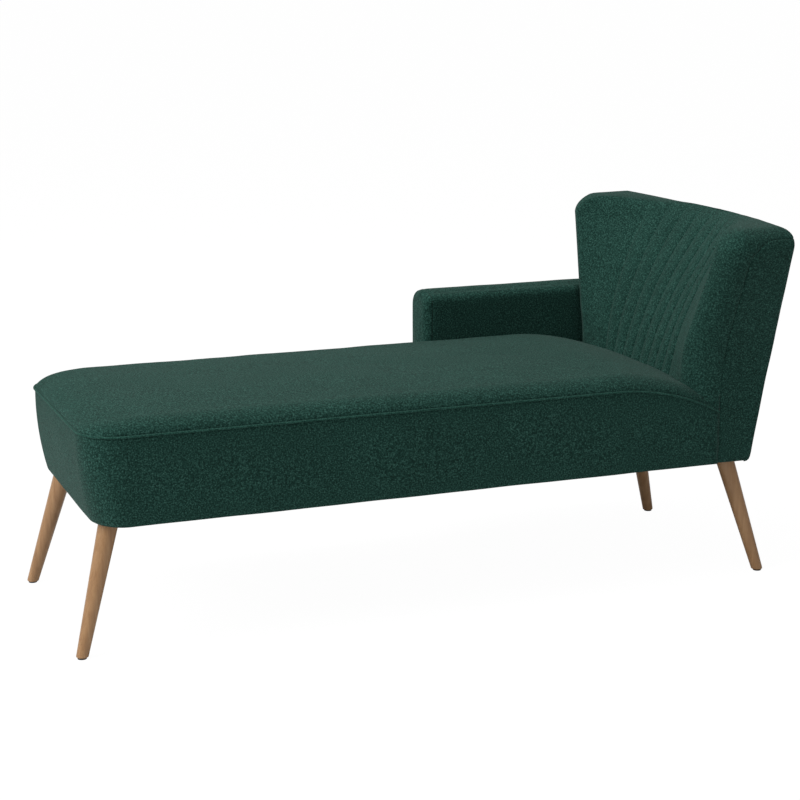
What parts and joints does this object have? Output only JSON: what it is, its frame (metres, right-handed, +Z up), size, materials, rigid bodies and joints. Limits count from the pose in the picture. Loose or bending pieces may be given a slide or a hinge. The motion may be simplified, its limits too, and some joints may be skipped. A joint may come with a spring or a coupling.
{
  "type": "chaise longue",
  "caption": "Chaise longue with a long padded seat, a flared barrel back with sewn vertical channels, one low arm and splayed round wooden legs.",
  "frame": {"origin": "on the floor, under the middle of the outline seen from above", "axes": "+X from the foot end to the back, +Y to the arm side, +Z up; the open side is at -Y"},
  "size_m": [1.5775, 0.744, 0.785],
  "materials": {
    "cover": "dark green looped cloth with a fine rough surface",
    "welt": "the same green cloth over a cord",
    "beech": "turned beech, clear satin lacquer",
    "frame_wood": "sawn, unfinished",
    "board": "pressed board, smooth one side",
    "foam": "cut foam",
    "wadding": "soft white fibre",
    "felt": "grey pressed felt",
    "webbing": "woven elastic band",
    "dust_cloth": "thin black non-woven cloth",
    "steel": "zinc-plated",
    "spring_steel": "dark drawn wire",
    "glide_plastic": "moulded, dull"
  },
  "bodies": {
    "root": {"side_rail_open": "frame_wood", "side_rail_arm": "frame_wood", "foot_corner_block_open": "frame_wood", "foot_corner_block_arm": "frame_wood", "foot_rail": "frame_wood", "head_rail": "frame_wood", "cross_rail_foot": "frame_wood", "cross_rail_head": "frame_wood", "zigzag_springs": "spring_steel", "spring_clips": "steel", "spring_felt": "felt", "seat_foam": "foam", "seat_wadding": "wadding", "side_padding": "foam", "seat_top_cover": "cover", "seat_border_cover": "cover", "seat_welt": "welt", "dust_cover": "dust_cloth", "back_post_open": "frame_wood", "back_post_arm": "frame_wood", "back_lower_rail": "frame_wood", "back_middle_rail": "frame_wood", "back_top_rail": "frame_wood", "back_webbing": "webbing", "back_board": "board", "back_foam": "foam", "back_inner_cover": "cover", "gusset_open": "cover", "gusset_arm": "cover", "outer_back_panel": "cover", "arm_front_post": "frame_wood", "arm_rear_post": "frame_wood", "arm_top_rail": "frame_wood", "arm_bottom_rail": "frame_wood", "arm_outer_board": "board", "arm_foam": "foam", "arm_wrap_cover": "cover", "arm_front_cover": "cover", "arm_dust_cover": "dust_cloth", "back_bolts": "steel", "arm_bolts": "steel", "insert_nuts": "steel", "leg_foot_open": "beech", "leg_foot_arm": "beech", "leg_head_open": "beech", "leg_head_arm": "beech", "glides": "glide_plastic", "hanger_bolts": "steel", "leg_plates": "steel", "leg_plate_screws": "steel"}
  },
  "joints": []
}
